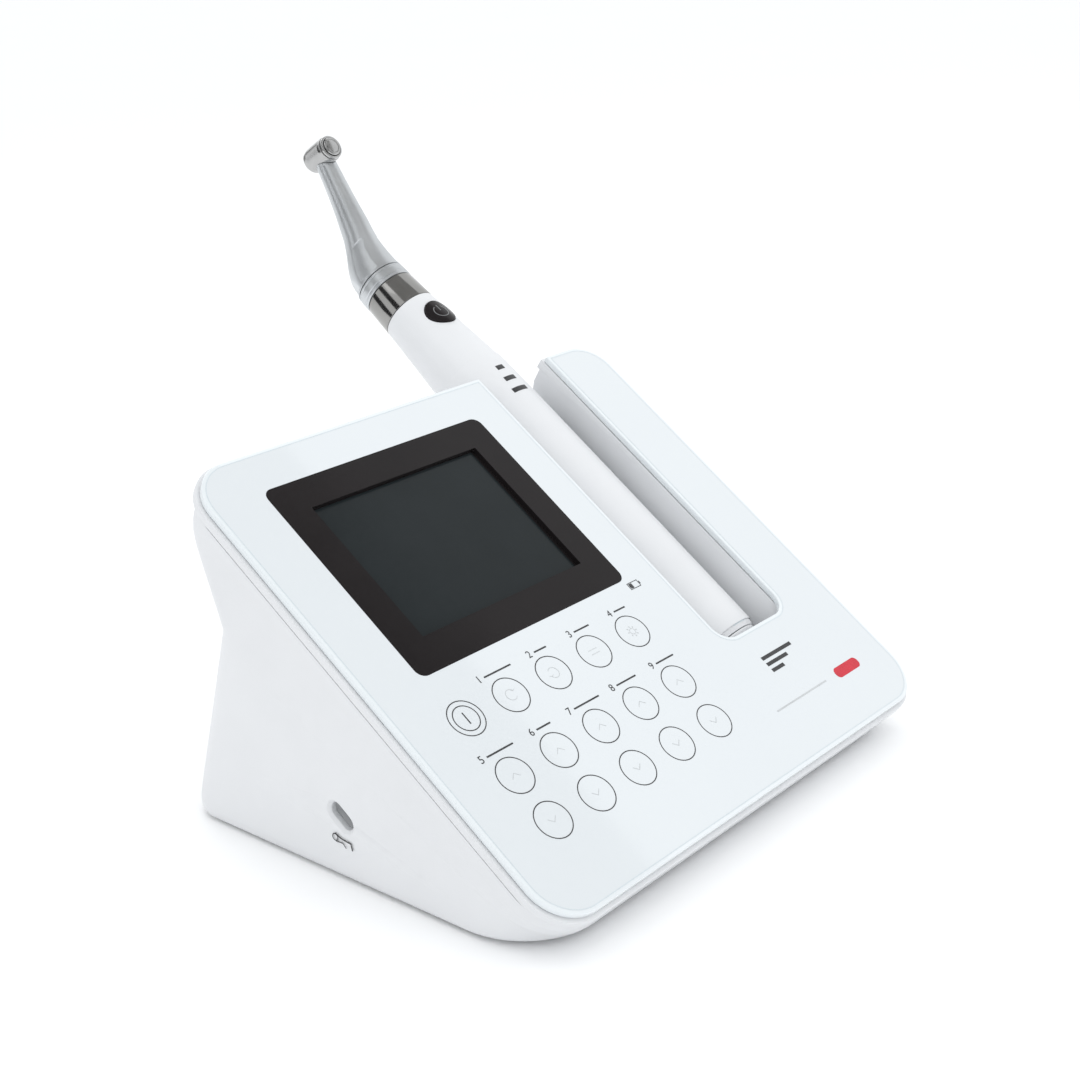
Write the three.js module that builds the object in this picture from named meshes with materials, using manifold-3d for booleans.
// Endodontic motor: a wedge-shaped desk console with a tilted glass touch panel, and a cordless
// handpiece with a contra-angle head that rests in an open cradle groove on the panel's right.
// Millimetres, +Z up, +Y towards the back. The device stands on z = 0.

import * as THREE from "three";
import { mergeVertices } from "three/addons/utils/BufferGeometryUtils.js";
import Module from "manifold-3d";

const wasm = await Module();
wasm.setup();

// ---------------------------------------------------------------- driving dimensions

const DEG = Math.PI / 180;
const GAP = 0.3; // air between neighbouring pieces

// Console. The panel frame has X across, Y up the panel and Z out of the glass.
const TILT = 35.7 * DEG;
const FOOT_H = 1.2; // the shell's lower edge above the table
const PANEL_Y = -48.3; // the glass's front top edge
const PANEL_Z = 12.1 + FOOT_H;
const GLASS = { halfW: 85.9, length: 157.5, corner: 13.5, thick: 2 };
const RIM = { proud: 1.1, top: -GLASS.thick - GAP, bottom: -4.7 };
const WALL = 2.4;
const MASK = { x: -25.3, y: 109.6, w: 85.7, h: 69.6, corner: 3.6 };
const SCREEN = { w: 64.8, h: 48.6 }; // window over a 4:3 display
const KEYS = { x0: -65.1, pitch: 17.4, rows: [59.5, 39.8, 24.8], count: 5, r: 5.5 };

// Cradle groove and the handpiece's axis in the panel frame.
const GROOVE = { x: 47.4, halfW: 16.25, y0: 43.2, corner: 6, axisZ: -16.3, depth: 14.6, wall: 2 };
const TAIL_Y = 44.2; // panel Y of the handpiece's tail end

// Outer body of the console as a fan of flat sections: [front y, front z, back y, back z,
// half width, front corner radius, back corner radius], from the rim down to the table edge.
const FAN = [
  [-45.5, 8.3, 82.3, 100.1, 87.0, 15, 17],
  [-44.3, 6.2, 85.4, 95.2, 87.0, 15.1, 17],
  [-43.9, 5.5, 86.1, 91.8, 87.0, 15.3, 17.5],
  [-43.4, 4.8, 85.3, 86.4, 86.9, 15.6, 18],
  [-42.7, 4.0, 79.2, 67.0, 86.8, 16, 17],
  [-42.3, 3.5, 77.9, 62.3, 86.7, 16.5, 15],
  [-41.8, 3.0, 79.2, 57.4, 86.6, 17.5, 14.5],
  [-40.6, 1.6, 92.6, 15.0, 86.3, 20, 12.5],
  [-39.6, 0.6, 96.4, 3.2, 86.1, 22, 12.5],
  [-38.5, 0.0, 95.6, 0.0, 85.4, 23, 12],
];

// Handpiece along its own axis from the tail, as [station, outer radius].
const SHELL = [
  [2, 11.7],
  [5, 12.4],
  [14, 12.65],
  [112, 12.65],
  [126, 12.0],
  [139, 11.0],
  [151, 10.1],
  [156.5, 9.7],
];
const SHELL_WALL = 1.8;
const BUTTON = { s: 146.8, r: 5.2, floor: 7.2, proud: 0.45 };

// Contra-angle: the neck leaves the handpiece's axis at BEND and runs to the head's centre.
const NECK_TILT = 24 * DEG;
const BEND = 172.6;
const HEAD_DISTANCE = 47.7; // bend to head centre, along the neck
const SHEATH = [
  // station, height above the axis, radius, section tilt in degrees
  [172.7, 0, 9.1, 0],
  [176.5, 0.4, 8.7, 3],
  [180.7, 1.9, 7.7, 9],
  [184.7, 4.2, 6.35, 17],
  [188.7, 6.7, 5.4, 22],
  [193, 8.95, 4.95, 24],
  [198, 11.3, 4.4, 24],
  [206, 14.9, 3.8, 24],
  [214, 18.4, 3.4, 24],
];
const SHEATH_WALL = 1;
const SHEATH_SIDES = 24;
const SHEATH_BORE = 6.1; // widest bore, so that the flats leave a wall
// Ground flats on the sheath, as [direction in degrees from +X, distance from the axis].
const FLATS = [[35, 8.25], [145, 8.25], [-35, 7.6], [215, 7.6]];
const HEAD_R = 4.45;
const BEND_GEARS = { teeth: 16, near: 3.4, far: 4.8, addendum: 0.26, dedendum: 0.5 };
const PINION_TEETH = 8;
const CHUCK_TEETH = 14;
const HEAD_GEARS = { near: 2.3, far: 3.5, addendum: 0.22, dedendum: 0.4 };

// ---------------------------------------------------------------- geometry helpers

// A BufferGeometry as a manifold-3d solid, turned outside out if its faces point in.
function solid(geometry) {
  const bare = geometry.clone();
  bare.deleteAttribute("normal");
  bare.deleteAttribute("uv");
  const merged = mergeVertices(bare, 1e-4);
  const make = (triVerts) =>
    new wasm.Manifold(
      new wasm.Mesh({ numProp: 3, vertProperties: merged.attributes.position.array, triVerts }),
    );
  const made = make(new Uint32Array(merged.index.array));
  if (made.volume() > 0) return made;
  const flipped = new Uint32Array(merged.index.array);
  for (let i = 0; i < flipped.length; i += 3) {
    [flipped[i + 1], flipped[i + 2]] = [flipped[i + 2], flipped[i + 1]];
  }
  return make(flipped);
}

function geometryOf(manifold) {
  const mesh = manifold.getMesh();
  return new THREE.BufferGeometry()
    .setAttribute("position", new THREE.BufferAttribute(mesh.vertProperties.slice(), 3))
    .setIndex(new THREE.BufferAttribute(mesh.triVerts.slice(), 1));
}

// A closed band of equal-length rings, capped at both ends by a fan from a centre point.
function loft(rings, startCentre, endCentre) {
  const n = rings[0].length;
  const points = rings.flat().concat([startCentre, endCentre]);
  const index = [];
  for (let k = 0; k + 1 < rings.length; k += 1) {
    for (let i = 0; i < n; i += 1) {
      const a = k * n + i;
      const b = k * n + ((i + 1) % n);
      index.push(a, b, b + n, a, b + n, a + n);
    }
  }
  const start = rings.length * n;
  const last = (rings.length - 1) * n;
  for (let i = 0; i < n; i += 1) {
    const j = (i + 1) % n;
    index.push(start, j, i, start + 1, last + i, last + j);
  }
  const geometry = new THREE.BufferGeometry().setFromPoints(points);
  geometry.setIndex(index);
  return solid(geometry);
}

function centreOf(ring) {
  return ring.reduce((sum, p) => sum.add(p), new THREE.Vector3()).divideScalar(ring.length);
}

function loftCapped(rings) {
  return loft(rings, centreOf(rings[0]), centreOf(rings[rings.length - 1]));
}

// A body of revolution about Z from a closed [radius, z] outline.
function turned(outline, segments = 24) {
  const profile = outline.map(([r, z]) => new THREE.Vector2(r, z));
  const onAxis = outline[0][0] === 0 && outline[outline.length - 1][0] === 0;
  if (!onAxis) profile.push(profile[0].clone());
  return solid(new THREE.LatheGeometry(profile, segments).rotateX(Math.PI / 2));
}

function tube(outer, inner, z0, z1, segments = 24) {
  return turned([[inner, z0], [outer, z0], [outer, z1], [inner, z1]], segments);
}

function rod(r, z0, z1, segments = 18) {
  return turned([[0, z0], [r, z0], [r, z1], [0, z1]], segments);
}

function block(x0, x1, y0, y1, z0, z1) {
  const box = new THREE.BoxGeometry(x1 - x0, y1 - y0, z1 - z0);
  return solid(box.translate((x0 + x1) / 2, (y0 + y1) / 2, (z0 + z1) / 2));
}

function prism(shape, z0, z1, curveSegments = 6) {
  const options = { depth: z1 - z0, bevelEnabled: false, curveSegments };
  return solid(new THREE.ExtrudeGeometry(shape, options).translate(0, 0, z0));
}

function roundedRect(x0, x1, y0, y1, r) {
  const shape = new THREE.Shape();
  shape.moveTo(x0 + r, y0);
  shape.lineTo(x1 - r, y0);
  shape.absarc(x1 - r, y0 + r, r, -Math.PI / 2, 0);
  shape.lineTo(x1, y1 - r);
  shape.absarc(x1 - r, y1 - r, r, 0, Math.PI / 2);
  shape.lineTo(x0 + r, y1);
  shape.absarc(x0 + r, y1 - r, r, Math.PI / 2, Math.PI);
  shape.lineTo(x0, y0 + r);
  shape.absarc(x0 + r, y0 + r, r, Math.PI, 1.5 * Math.PI);
  return shape;
}

// The same solid with a rigid turn and shift: a Matrix4 applied to a manifold.
function moved(manifold, matrix) {
  return solid(geometryOf(manifold).applyMatrix4(matrix));
}

function joined(parts) {
  return parts.reduce((sum, part) => sum.add(part));
}

// A ring of the fan: a rounded rectangle in the plane through its front and back edges.
const ARC_STEPS = 4;
function fanRing([fy, fz, by, bz, halfW, frontR, backR], inset = 0) {
  const front = new THREE.Vector3(0, fy, fz + FOOT_H);
  const along = new THREE.Vector3(0, by - fy, bz - fz);
  const length = along.length();
  along.normalize();
  const at = (x, y) => front.clone().addScaledVector(along, y).setX(x);
  const w = halfW - inset;
  const y0 = inset;
  const y1 = length - inset;
  const rf = frontR - inset;
  const rb = backR - inset;
  const corners = [
    [w - rf, y0 + rf, rf, -90],
    [w - rb, y1 - rb, rb, 0],
    [-w + rb, y1 - rb, rb, 90],
    [-w + rf, y0 + rf, rf, 180],
  ];
  return corners.flatMap(([cx, cy, r, from]) =>
    Array.from({ length: ARC_STEPS + 1 }, (_, k) => {
      const a = (from + (90 * k) / ARC_STEPS) * DEG;
      return at(cx + r * Math.cos(a), cy + r * Math.sin(a));
    }),
  );
}

// ---------------------------------------------------------------- scene graph

const COLOURS = {
  white: [0xf0f1f3, 0.35, 0],
  panelWhite: [0xe9eef1, 0.12, 0],
  black: [0x141416, 0.2, 0],
  screen: [0x2a2c2e, 0.1, 0],
  rubber: [0x5a5c5f, 0.9, 0],
  steel: [0xb9bbbd, 0.25, 1],
  satin: [0xb2b5b6, 0.45, 1],
  mirror: [0x8d8b88, 0.12, 1],
  board: [0x1d5c38, 0.5, 0],
  brass: [0xc9a54e, 0.3, 1],
  cell: [0x2f5f9a, 0.5, 0],
  dark: [0x2b2b2d, 0.6, 0],
};

function material(name) {
  const [color, roughness, metalness] = COLOURS[name];
  return new THREE.MeshStandardMaterial({ color, roughness, metalness });
}

function add(group, name, colour, manifold) {
  const mesh = new THREE.Mesh(geometryOf(manifold), material(colour));
  mesh.name = name;
  group.add(mesh);
}

const device = new THREE.Group();

const panel = new THREE.Group();
panel.position.set(0, PANEL_Y, PANEL_Z);
panel.rotation.x = TILT;
device.add(panel);

// Handpiece frame: +Z along the axis to the nose, +Y out of the panel, origin at the tail.
const handpiece = new THREE.Group();
handpiece.position.set(GROOVE.x, TAIL_Y, GROOVE.axisZ);
handpiece.rotation.set(Math.PI / 2, Math.PI, 0);
panel.add(handpiece);

// Neck frame: +Z along the neck from the bend. Head frame: +Z out through the push cap.
const neck = new THREE.Group();
neck.position.set(0, 0, BEND);
neck.rotation.x = -NECK_TILT;
handpiece.add(neck);
const head = new THREE.Group();
head.position.set(0, 0, HEAD_DISTANCE);
head.rotation.x = -Math.PI / 2;
neck.add(head);

// ---------------------------------------------------------------- console: shells and panel

// The groove's section in the panel frame, swept along Y, grown by a wall or a gap.
function groove(grow, y0, y1, top) {
  const w = GROOVE.halfW + grow;
  const shape = new THREE.Shape();
  shape.moveTo(-w, -top);
  shape.lineTo(-w, -GROOVE.axisZ);
  shape.absellipse(0, -GROOVE.axisZ, w, GROOVE.depth + grow, Math.PI, 0, true);
  shape.lineTo(w, -top);
  return solid(
    new THREE.ExtrudeGeometry(shape, { depth: y1 - y0, bevelEnabled: false, curveSegments: 10 })
      .rotateX(-Math.PI / 2)
      .translate(GROOVE.x, y0, 0),
  );
}

function glassOutline(grow) {
  return roundedRect(
    -GLASS.halfW - grow,
    GLASS.halfW + grow,
    -grow,
    GLASS.length + grow,
    GLASS.corner + grow,
  );
}

// The slot in the glass above the groove: round corners at its lower end, open at the back.
function slotCut(grow, z0, z1) {
  const x0 = GROOVE.x - GROOVE.halfW - grow;
  const x1 = GROOVE.x + GROOVE.halfW + grow;
  const past = GLASS.length + 20;
  return prism(roundedRect(x0, x1, GROOVE.y0 - grow, past, GROOVE.corner + grow), z0, z1);
}

function intoPanel(manifold) {
  device.updateMatrixWorld(true);
  return moved(manifold, panel.matrixWorld.clone().invert());
}

const outerBody = loftCapped(FAN.map((s) => fanRing(s)));
const innerBody = loftCapped([
  fanRing([-45.8, 9.8, 80.3, 103.2, 87.0, 15, 17], WALL),
  ...FAN.slice(1, -1).map((s) => fanRing(s, WALL)),
  fanRing([-38.5, -2, 95.6, -2, 86.0, 23, 12], WALL),
]);

const PORT = { x: -86.6, y: 28.0, z: 18.4 + FOOT_H, length: 9, height: 4.8, depth: 9 };
const INLET = { x: -30, z: 16 + FOOT_H, r: 4.2, depth: 11 };
const INLET_Y = 88.5;

// A round-ended slot along X, its long side parallel to the panel.
function portCut(grow, x0, x1) {
  const r = PORT.height / 2 + grow;
  const half = PORT.length / 2 - PORT.height / 2;
  const shape = new THREE.Shape();
  shape.moveTo(-half, -r);
  shape.lineTo(half, -r);
  shape.absarc(half, 0, r, -Math.PI / 2, Math.PI / 2);
  shape.lineTo(-half, r);
  shape.absarc(-half, 0, r, Math.PI / 2, 1.5 * Math.PI);
  const frame = new THREE.Matrix4()
    .makeTranslation(x0, PORT.y, PORT.z)
    .multiply(new THREE.Matrix4().makeRotationX(TILT))
    .multiply(new THREE.Matrix4().makeBasis(
      new THREE.Vector3(0, 1, 0),
      new THREE.Vector3(0, 0, 1),
      new THREE.Vector3(1, 0, 0),
    ));
  return moved(prism(shape, 0, x1 - x0), frame);
}

// Cylinder along Y in the console's frame.
function rodY(r, x, z, y0, y1, segments = 18) {
  return moved(rod(r, y0, y1, segments), new THREE.Matrix4().makeTranslation(x, 0, z)
    .multiply(new THREE.Matrix4().makeBasis(
      new THREE.Vector3(0, 0, 1),
      new THREE.Vector3(1, 0, 0),
      new THREE.Vector3(0, 1, 0),
    )));
}

device.updateMatrixWorld(true);
const grooveNotch = moved(
  groove(GROOVE.wall + GAP, GROOVE.y0 - GROOVE.wall - GAP, GLASS.length + 30, 20),
  panel.matrixWorld,
);
add(device, "lower_housing", "white",
  outerBody
    .subtract(innerBody)
    .subtract(grooveNotch)
    .subtract(portCut(0, PORT.x - 5, PORT.x + 6))
    .subtract(rodY(INLET.r + GAP, INLET.x, INLET.z, INLET_Y - 8, INLET_Y + 8)),
);

// Upper frame: a flat lid under the glass with the cradle groove hanging from it.
const rimBand = prism(glassOutline(RIM.proud), RIM.bottom + GAP, RIM.top);
const trough = groove(GROOVE.wall, GROOVE.y0 - GROOVE.wall, GLASS.length + 30, RIM.top)
  .intersect(intoPanel(outerBody).add(prism(glassOutline(RIM.proud), RIM.bottom - 1, RIM.top)));
const SCREEN_WINDOW = { halfW: 41, halfH: 31 };
const screenWindow = block(
  MASK.x - SCREEN_WINDOW.halfW, MASK.x + SCREEN_WINDOW.halfW,
  MASK.y - SCREEN_WINDOW.halfH, MASK.y + SCREEN_WINDOW.halfH, -10, 0,
);
const CHARGE_PINS = { s: 9, spread: 5, r: 1.1 };
const pinHoles = joined([-1, 1].map((side) =>
  moved(rod(CHARGE_PINS.r + 0.2, -40, -16, 16),
    new THREE.Matrix4().makeTranslation(GROOVE.x + side * CHARGE_PINS.spread, TAIL_Y + CHARGE_PINS.s, 0)),
));
add(panel, "upper_frame", "white",
  rimBand
    .add(trough)
    .subtract(groove(0, GROOVE.y0, GLASS.length + 40, 10))
    .subtract(screenWindow)
    .subtract(pinHoles),
);

const glassPlate = prism(glassOutline(0), -GLASS.thick, 0);
add(panel, "glass_panel", "panelWhite", glassPlate.subtract(slotCut(0, -5, 5)));

// Display stack behind the glass: black surround, display cell, metal tray.
const SURROUND = { top: -GLASS.thick - GAP, bottom: -GLASS.thick - 0.9 };
const maskX = [MASK.x - SCREEN_WINDOW.halfW + GAP, MASK.x + SCREEN_WINDOW.halfW - GAP];
const maskY = [MASK.y - SCREEN_WINDOW.halfH + GAP, MASK.y + SCREEN_WINDOW.halfH - GAP];
add(panel, "display_surround", "black",
  block(...maskX, ...maskY, SURROUND.bottom, SURROUND.top).subtract(
    block(MASK.x - SCREEN.w / 2, MASK.x + SCREEN.w / 2, MASK.y - SCREEN.h / 2, MASK.y + SCREEN.h / 2, -10, 0),
  ),
);
const CELL = { halfW: 38.8, halfH: 27.5, top: SURROUND.bottom - GAP, thick: 2.6 };
add(panel, "display_cell", "screen",
  block(MASK.x - CELL.halfW, MASK.x + CELL.halfW, MASK.y - CELL.halfH, MASK.y + CELL.halfH,
    CELL.top - CELL.thick, CELL.top),
);
const TRAY = { wall: 0.8, rise: 1.6 };
const trayTop = CELL.top - CELL.thick - GAP;
add(panel, "display_tray", "steel",
  block(MASK.x - 40.4, MASK.x + 40.4, MASK.y - 29, MASK.y + 29, trayTop - TRAY.wall, trayTop + TRAY.rise).subtract(
    block(MASK.x - 39.4, MASK.x + 39.4, MASK.y - 28.1, MASK.y + 28.1, trayTop, trayTop + 5),
  ),
);

// Touch board under the key field, with a raised sensing pad below each key.
const TOUCH = { top: -5.6, thick: 1.2, x0: -76, x1: 15, y0: 16, y1: 68, pad: 0.4 };
const pads = KEYS.rows.flatMap((y) =>
  Array.from({ length: KEYS.count }, (_, k) =>
    moved(rod(KEYS.r - 0.8, TOUCH.top - 0.1, TOUCH.top + TOUCH.pad, 8),
      new THREE.Matrix4().makeTranslation(KEYS.x0 + k * KEYS.pitch, y, 0)),
  ),
);
add(panel, "touch_board", "board",
  joined([block(TOUCH.x0, TOUCH.x1, TOUCH.y0, TOUCH.y1, TOUCH.top - TOUCH.thick, TOUCH.top), ...pads]),
);

// ---------------------------------------------------------------- console: inside and base

const PLATE = { low: 0.3, high: 2.3, inset: WALL + 0.7 };
const FLOOR_TOP = FOOT_H + PLATE.high;
const plateRing = (z) => fanRing([-38.5, z, 95.6, z, 85.4, 23, 13], PLATE.inset);
const FEET = [["front_left", -66, -14], ["front_right", 66, -14], ["rear_left", -70, 78], ["rear_right", 70, 78]];
const SCREWS = [["front_left", -74, 2], ["front_right", 74, 2], ["rear_left", -74, 60], ["rear_right", 74, 60]];
const FOOT = { r: 6.5, stem: 2.4 };
const SCREW = { headR: 2.6, shankR: 1.2, length: 8 };
const at = (x, y, z = 0) => new THREE.Matrix4().makeTranslation(x, y, z);
const footHoles = FEET.map(([, x, y]) => moved(rod(FOOT.stem + 0.25, 0, 6, 12), at(x, y)));
const screwHoles = SCREWS.map(([, x, y]) =>
  moved(rod(SCREW.shankR + 0.3, 0, 6, 8).add(rod(SCREW.headR + 0.3, 0, FLOOR_TOP - 1, 12)), at(x, y)),
);
const SPEAKER = { x: -20, y: 62, r: 14, h: 4 };
const grille = Array.from({ length: 7 }, (_, k) => {
  const a = k * 60 * DEG;
  const out = k === 6 ? 0 : 6;
  return moved(rod(1.2, 0, 6, 6), at(SPEAKER.x + out * Math.cos(a), SPEAKER.y + out * Math.sin(a)));
});
add(device, "base_plate", "white",
  loftCapped([plateRing(PLATE.low), plateRing(PLATE.high)])
    .subtract(joined([...footHoles, ...screwHoles, ...grille])),
);
for (const [where, x, y] of FEET) {
  const disc = rod(FOOT.r, 0, FOOT_H + 0.2, 18).add(rod(FOOT.stem, 0, FLOOR_TOP + 1, 12));
  add(device, `foot_${where}`, "rubber", moved(disc, at(x, y)));
}
for (const [where, x, y] of SCREWS) {
  const slot = block(-SCREW.headR, SCREW.headR, -0.35, 0.35, 0, FOOT_H + 0.8);
  const screw = rod(SCREW.headR, FOOT_H + 0.4, FLOOR_TOP - 1.1, 12)
    .add(rod(SCREW.shankR, FOOT_H + 0.4, FLOOR_TOP + SCREW.length, 8))
    .subtract(slot);
  add(device, `base_screw_${where}`, "steel", moved(screw, at(x, y)));
}
add(device, "speaker", "dark",
  moved(turned([[0, 0], [SPEAKER.r, 0], [SPEAKER.r, 1.2], [7, SPEAKER.h], [0, SPEAKER.h]], 24),
    at(SPEAKER.x, SPEAKER.y, FLOOR_TOP + GAP)),
);

const BATTERY = { x0: -58, x1: 0, y0: 6, y1: 42, h: 11 };
add(device, "console_battery", "cell",
  prism(roundedRect(BATTERY.x0, BATTERY.x1, BATTERY.y0, BATTERY.y1, 3), FLOOR_TOP + GAP, FLOOR_TOP + BATTERY.h, 3),
);
const BOARD = { x0: -74, x1: 16, y0: 50, y1: 86, z: 24, thick: 1.6 };
const chips = [[-60, 60, 10, 10, 1.4], [-36, 66, 14, 14, 1.8], [-8, 60, 8, 12, 3.5], [4, 74, 12, 7, 6]];
add(device, "main_board", "board",
  joined([
    block(BOARD.x0, BOARD.x1, BOARD.y0, BOARD.y1, BOARD.z, BOARD.z + BOARD.thick),
    ...chips.map(([x, y, w, d, h]) =>
      block(x - w / 2, x + w / 2, y - d / 2, y + d / 2, BOARD.z + BOARD.thick - 0.1, BOARD.z + BOARD.thick + h)),
  ]),
);

// Sensor socket behind the slot in the left wall: a cup with contact blades at its end.
const cup = block(PORT.x + WALL + 0.5, PORT.x + WALL + PORT.depth, PORT.y - 7, PORT.y + 7, PORT.z - 6.5, PORT.z + 6.5);
add(device, "sensor_socket", "dark", cup.subtract(portCut(0.2, PORT.x - 2, PORT.x + WALL + PORT.depth - 1.5)));

// Direct-current inlet in the back wall: a barrel with a centre pin.
const inletBody = rodY(INLET.r, INLET.x, INLET.z, INLET_Y - INLET.depth, INLET_Y + 1.4)
  .add(rodY(INLET.r + 2, INLET.x, INLET.z, INLET_Y - INLET.depth, INLET_Y - 3.4));
add(device, "power_inlet", "dark",
  inletBody
    .subtract(rodY(2.9, INLET.x, INLET.z, INLET_Y - INLET.depth + 2, INLET_Y + 5))
    .add(rodY(0.8, INLET.x, INLET.z, INLET_Y - INLET.depth + 1, INLET_Y - 0.5, 12)),
);

// ---------------------------------------------------------------- cradle

const PADS = [["front", 22], ["rear", 92]];
const PAD_LENGTH = 12;
const PAD_TOP = GROOVE.axisZ - 5;
for (const [where, s] of PADS) {
  const y = TAIL_Y + s;
  const bedding = moved(rod(SHELL[3][1] + GAP, -5, PAD_LENGTH + 5, 32), new THREE.Matrix4()
    .makeTranslation(GROOVE.x, y, GROOVE.axisZ)
    .multiply(new THREE.Matrix4().makeRotationX(-Math.PI / 2)));
  const above = block(GROOVE.x - 30, GROOVE.x + 30, y - 5, y + PAD_LENGTH + 5, PAD_TOP, 0);
  const lining = groove(-GAP, y, y + PAD_LENGTH, GROOVE.axisZ + 1).subtract(bedding).subtract(above);
  add(panel, `cradle_pad_${where}`, "rubber", lining);
}
const pinFloor = GROOVE.axisZ - GROOVE.depth * Math.sqrt(1 - (CHARGE_PINS.spread / GROOVE.halfW) ** 2);
for (const [where, side] of [["left", -1], ["right", 1]]) {
  const top = GROOVE.axisZ - Math.sqrt(12.3 ** 2 - CHARGE_PINS.spread ** 2) - 0.9;
  const pin = rod(CHARGE_PINS.r, pinFloor - 3.2, top, 14)
    .add(rod(CHARGE_PINS.r + 0.9, pinFloor - 4.8, pinFloor - 3, 14));
  add(panel, `charge_pin_${where}`, "brass",
    moved(pin, at(GROOVE.x + side * CHARGE_PINS.spread, TAIL_Y + CHARGE_PINS.s)));
}

// ---------------------------------------------------------------- handpiece

function shellRadius(s) {
  const next = SHELL.findIndex(([station]) => station > s);
  const [s0, r0] = SHELL[next - 1];
  const [s1, r1] = SHELL[next];
  return r0 + ((r1 - r0) * (s - s0)) / (s1 - s0);
}

const shellOutline = [
  ...SHELL.map(([s, r]) => [r, s]),
  ...SHELL.map(([s, r]) => [r - SHELL_WALL, s]).reverse(),
];
// Frame for a feature on top of the handpiece: +Z points away from the axis.
const onTop = (s) => new THREE.Matrix4().makeTranslation(0, 0, s)
  .multiply(new THREE.Matrix4().makeRotationX(-Math.PI / 2));
add(handpiece, "handpiece_shell", "white",
  turned(shellOutline, 32).subtract(moved(rod(BUTTON.r + 0.25, 2, 16, 20), onTop(BUTTON.s))),
);
add(handpiece, "tail_cap", "white",
  turned([[0, 0], [10.2, 0], [11.5, 1.2], [11.6, 1.7], [9.6, 1.7], [9.6, 7], [8.2, 7], [8.2, 2.2], [0, 2.2]], 28),
);
add(handpiece, "nose_collar", "mirror",
  turned([[7.2, 156.8], [9.7, 156.8], [9.2, 167.3], [7.2, 167.3]], 32),
);

const MOTOR = { r: 6.3, inner: 5.1, s0: 112, s1: 139.6 };
add(handpiece, "motor_can", "steel",
  turned([
    [1.7, MOTOR.s0], [MOTOR.r, MOTOR.s0], [MOTOR.r, MOTOR.s1],
    [MOTOR.inner, MOTOR.s1], [MOTOR.inner, MOTOR.s0 + 1], [1.7, MOTOR.s0 + 1],
  ], 20),
);
add(handpiece, "motor_end_bell", "dark", tube(MOTOR.r, 1.7, MOTOR.s1 + GAP, 143, 20));
add(handpiece, "nose_bearing", "steel", tube(7.6, 1.5, 152.6, 155.8, 20));
const ROTOR = { r: 4.6, shaft: 1.2, tail: 108, tip: 163 };
add(handpiece, "motor_rotor", "steel",
  turned([
    [0, ROTOR.tail], [ROTOR.shaft, ROTOR.tail], [ROTOR.shaft, MOTOR.s0 + 2], [ROTOR.r, MOTOR.s0 + 2],
    [ROTOR.r, MOTOR.s1 - 1], [ROTOR.shaft, MOTOR.s1 - 1], [ROTOR.shaft, ROTOR.tip], [0, ROTOR.tip],
  ], 18),
);
add(handpiece, "handpiece_battery", "cell", joined([rod(9.1, 14, 63, 20), rod(3, 62.9, 64.4, 16)]));
add(handpiece, "handpiece_board", "board",
  joined([
    block(-7.5, 7.5, 2, 3.2, 68, 106),
    block(-3, 3, 3.1, 4.6, 74, 80),
    block(-4, 4, 3.1, 4.4, 88, 96),
  ]),
);
add(handpiece, "button_switch", "dark",
  block(-3, 3, 3, 5.2, BUTTON.s - 2.8, BUTTON.s + 2.8).add(
    moved(rod(1.6, 5, 6.1, 14), onTop(BUTTON.s))),
);
// Power button: a round plug whose top follows the shell's curve.
const buttonTop = turned([
  [0, BUTTON.s - 8], [shellRadius(BUTTON.s - 8) + BUTTON.proud, BUTTON.s - 8],
  [shellRadius(BUTTON.s + 8) + BUTTON.proud, BUTTON.s + 8], [0, BUTTON.s + 8],
], 64);
add(handpiece, "power_button", "black",
  moved(rod(BUTTON.r, BUTTON.floor, 16, 20), onTop(BUTTON.s)).intersect(buttonTop),
);

// ---------------------------------------------------------------- contra-angle

const RING_BORE = 5.3;
add(handpiece, "coupling_ring", "satin",
  turned([
    [RING_BORE, 157.6], [6.9, 157.6], [6.9, 167.6], [9.2, 167.6], [9.3, 168.4], [9.1, 169.2],
    [9.25, 170], [9.1, 172.4], [RING_BORE, 172.4],
  ], 32),
);

function sheathRings(radiusOf, stretch) {
  const sections = SHEATH.map((row) => [...row]);
  sections[0][0] -= stretch;
  const last = sections[sections.length - 1];
  last[0] += stretch * 2 * Math.cos(NECK_TILT);
  last[1] += stretch * 2 * Math.sin(NECK_TILT);
  return sections.map(([s, height, r, tilt]) => {
    const c = Math.cos(tilt * DEG);
    const t = Math.sin(tilt * DEG);
    return Array.from({ length: SHEATH_SIDES }, (_, k) => {
      const a = (k / SHEATH_SIDES) * 2 * Math.PI;
      const radius = radiusOf(r);
      const up = radius * Math.sin(a);
      return new THREE.Vector3(radius * Math.cos(a), height + up * c, s - up * t);
    });
  });
}
device.updateMatrixWorld(true);
const headInHandpiece = head.matrixWorld.clone().premultiply(handpiece.matrixWorld.clone().invert());
const flats = joined(FLATS.map(([angle, distance]) =>
  moved(block(distance, 14, -12, 12, 173.4, 185.4), new THREE.Matrix4().makeRotationZ(angle * DEG)),
));
add(handpiece, "neck_sheath", "satin",
  loftCapped(sheathRings((r) => r, 0))
    .subtract(flats)
    .subtract(loftCapped(sheathRings((r) => Math.min(r - SHEATH_WALL, SHEATH_BORE), 2)))
    .subtract(moved(rod(HEAD_R + 0.12, -9, 9, 28), headInHandpiece)),
);

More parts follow.
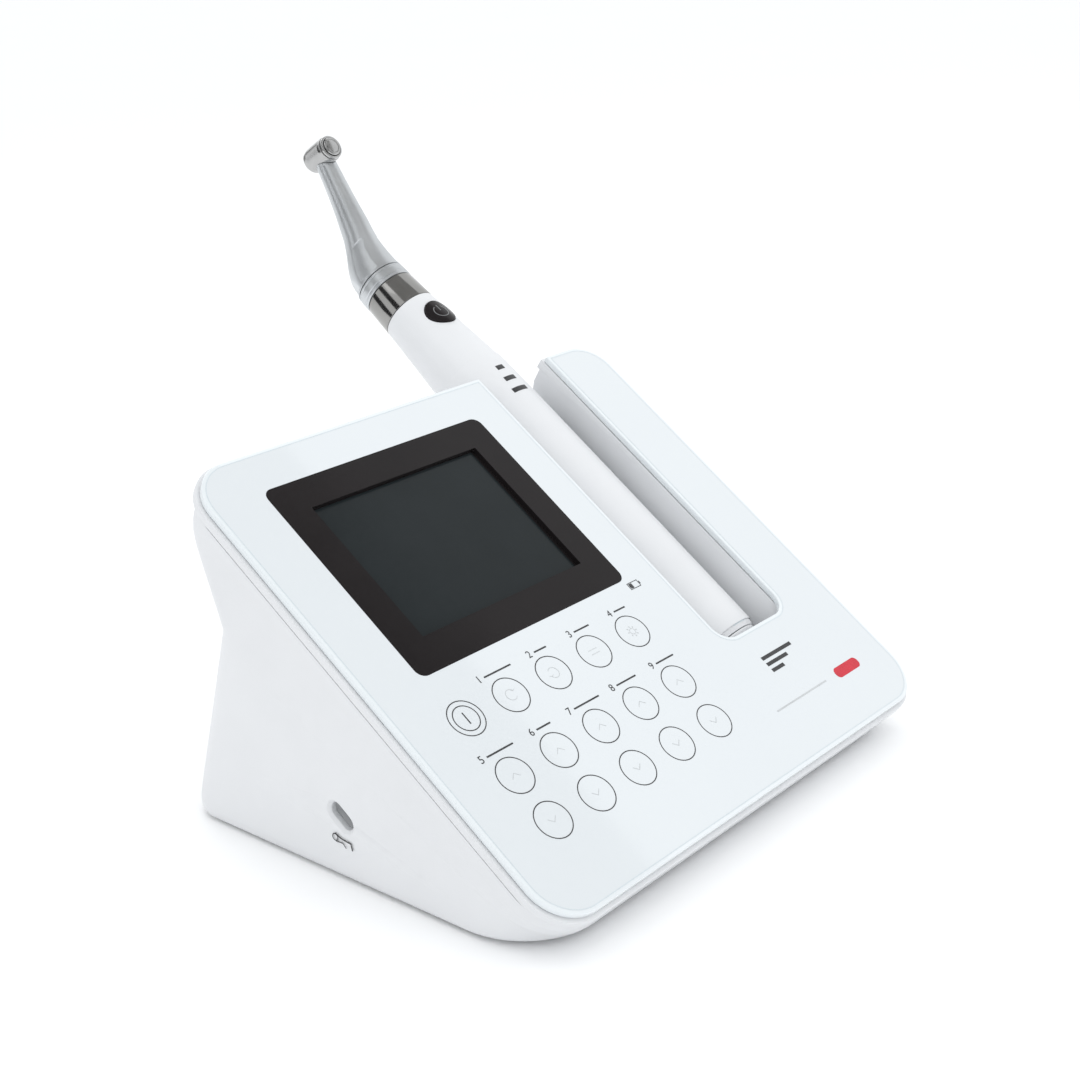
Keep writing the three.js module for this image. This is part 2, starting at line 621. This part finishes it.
// Bevel gear about +Z with its apex at the origin: teeth between two spheres, pitch cone half
// angle delta. `gap` puts a gap instead of a tooth at the direction of +Y.
function bevelGear({ teeth, delta, near, far, addendum, dedendum, hub, gap }) {
  const tip = addendum / far;
  const root = dedendum / far;
  const turnOf = (k) => ((k + (gap ? 0.5 : 0)) / teeth) * 2 * Math.PI;
  const flank = [[-0.27, -root], [-0.11, tip], [0.11, tip], [0.27, -root]];
  const ring = (rho) =>
    Array.from({ length: teeth }, (_, k) => k).flatMap((k) =>
      flank.map(([share, rise]) => {
        const a = turnOf(k) + (share / teeth) * 2 * Math.PI;
        const psi = delta + rise;
        return new THREE.Vector3(
          rho * Math.sin(psi) * Math.sin(a),
          rho * Math.sin(psi) * Math.cos(a),
          rho * Math.cos(psi),
        );
      }),
    );
  const rings = [ring(near), ring(far)];
  return loft(rings, new THREE.Vector3(0, 0, centreOf(rings[0]).z), new THREE.Vector3(0, 0, hub));
}

// Bend gears: two crown-like bevel gears meeting on the inner side of the bend.
const bendDelta = (Math.PI - NECK_TILT) / 2;
const bendGear = (gap) => bevelGear({ ...BEND_GEARS, delta: bendDelta, hub: 2.6, gap });
const rearGear = moved(bendGear(false), new THREE.Matrix4()
  .makeTranslation(0, 0, BEND)
  .multiply(new THREE.Matrix4().makeScale(1, 1, -1)));
const SLEEVE = { inner: 1.45, outer: 2.4, s0: 159.5, depth: 5 };
add(handpiece, "rear_shaft", "steel",
  joined([
    turned([
      [0, SLEEVE.s0 + SLEEVE.depth], [SLEEVE.inner, SLEEVE.s0 + SLEEVE.depth], [SLEEVE.inner, SLEEVE.s0],
      [SLEEVE.outer, SLEEVE.s0], [SLEEVE.outer, 166], [1.5, 166], [1.5, BEND - 1.8], [0, BEND - 1.8],
    ], 20),
    rearGear,
  ]),
);
add(handpiece, "rear_bearing", "steel", tube(RING_BORE - GAP, 1.7, 166.6, 169.4, 24));

const pinionDelta = Math.atan2(PINION_TEETH, CHUCK_TEETH);
const pinion = moved(
  bevelGear({ ...HEAD_GEARS, teeth: PINION_TEETH, delta: pinionDelta, hub: 4.4, gap: false }),
  new THREE.Matrix4().makeTranslation(0, 0, HEAD_DISTANCE).multiply(new THREE.Matrix4().makeScale(1, 1, -1)),
);
add(neck, "front_shaft", "steel",
  joined([bendGear(true), rod(1.1, 1.8, HEAD_DISTANCE - 3.6, 12), pinion]),
);
add(neck, "neck_bearing_rear", "brass", tube(3.6, 1.3, 19, 22, 24));
add(neck, "neck_bearing_front", "brass", tube(2.4, 1.3, 37.6, 40.4, 24));

// ---------------------------------------------------------------- head

const HEAD = { low: -5.9, high: 4.9, cavity: 3.8, mouth: 2.2 };
// The neck meets the head from its +Y side.
const throat = moved(rod(2.5, 0, 9, 24), new THREE.Matrix4().makeRotationX(-Math.PI / 2));
add(head, "head_shell", "steel",
  turned([
    [HEAD.mouth, HEAD.low], [3.5, HEAD.low], [4.15, -5.0], [HEAD_R, -3.4], [HEAD_R, 3.6], [4.3, HEAD.high],
    [HEAD.cavity, HEAD.high], [HEAD.cavity, -4.9], [HEAD.mouth, -4.9],
  ], 28).subtract(throat),
);
add(head, "cap_ring", "satin",
  turned([[3.35, 5.15], [4.2, 5.15], [4.05, 6.0], [3.35, 6.0]], 24),
);
add(head, "push_cap", "satin",
  turned([
    [0, 5.3], [2.7, 5.3], [2.7, 4.7], [3.15, 4.7], [3.15, 6.3], [2.7, 6.65], [0, 6.75],
  ], 24),
);
const SPINDLE = { r: 1.8, bore: 1.19, low: -5.7, high: 3.3 };
const chuckDelta = Math.PI / 2 - pinionDelta;
const chuckGear = bevelGear({
  ...HEAD_GEARS, teeth: CHUCK_TEETH, delta: chuckDelta, hub: 2.4, gap: true,
});
add(head, "chuck_spindle", "steel",
  rod(SPINDLE.r, SPINDLE.low, SPINDLE.high, 16)
    .add(chuckGear)
    .subtract(rod(SPINDLE.bore, SPINDLE.low - 1, 0.5, 14)),
);
add(head, "chuck_bearing_lower", "steel", tube(3.6, 1.95, -4.6, -3.0, 18));
add(head, "chuck_bearing_upper", "steel", tube(3.6, 1.95, 2.55, 3.5, 18));

// Cap spring: two turns of wire between the upper bearing and the cap.
class Coil extends THREE.Curve {
  getPoint(t, target = new THREE.Vector3()) {
    const a = t * 2 * Math.PI * 1.6;
    return target.set(2.2 * Math.cos(a), 2.2 * Math.sin(a), 3.95 + t * 0.35 * 1.6);
  }
}
const wire = new THREE.Shape().absarc(0, 0, 0.13, 0, 2 * Math.PI);
add(head, "cap_spring", "steel",
  solid(new THREE.ExtrudeGeometry(wire, { steps: 22, extrudePath: new Coil(), curveSegments: 2 })),
);

// ---------------------------------------------------------------- stand on the box's bottom centre

device.updateMatrixWorld(true);
const extent = new THREE.Box3().setFromObject(device, true);
const centre = extent.getCenter(new THREE.Vector3());
device.position.set(-centre.x, -centre.y, -extent.min.z);
const root = new THREE.Group();
root.add(device);

export default root;
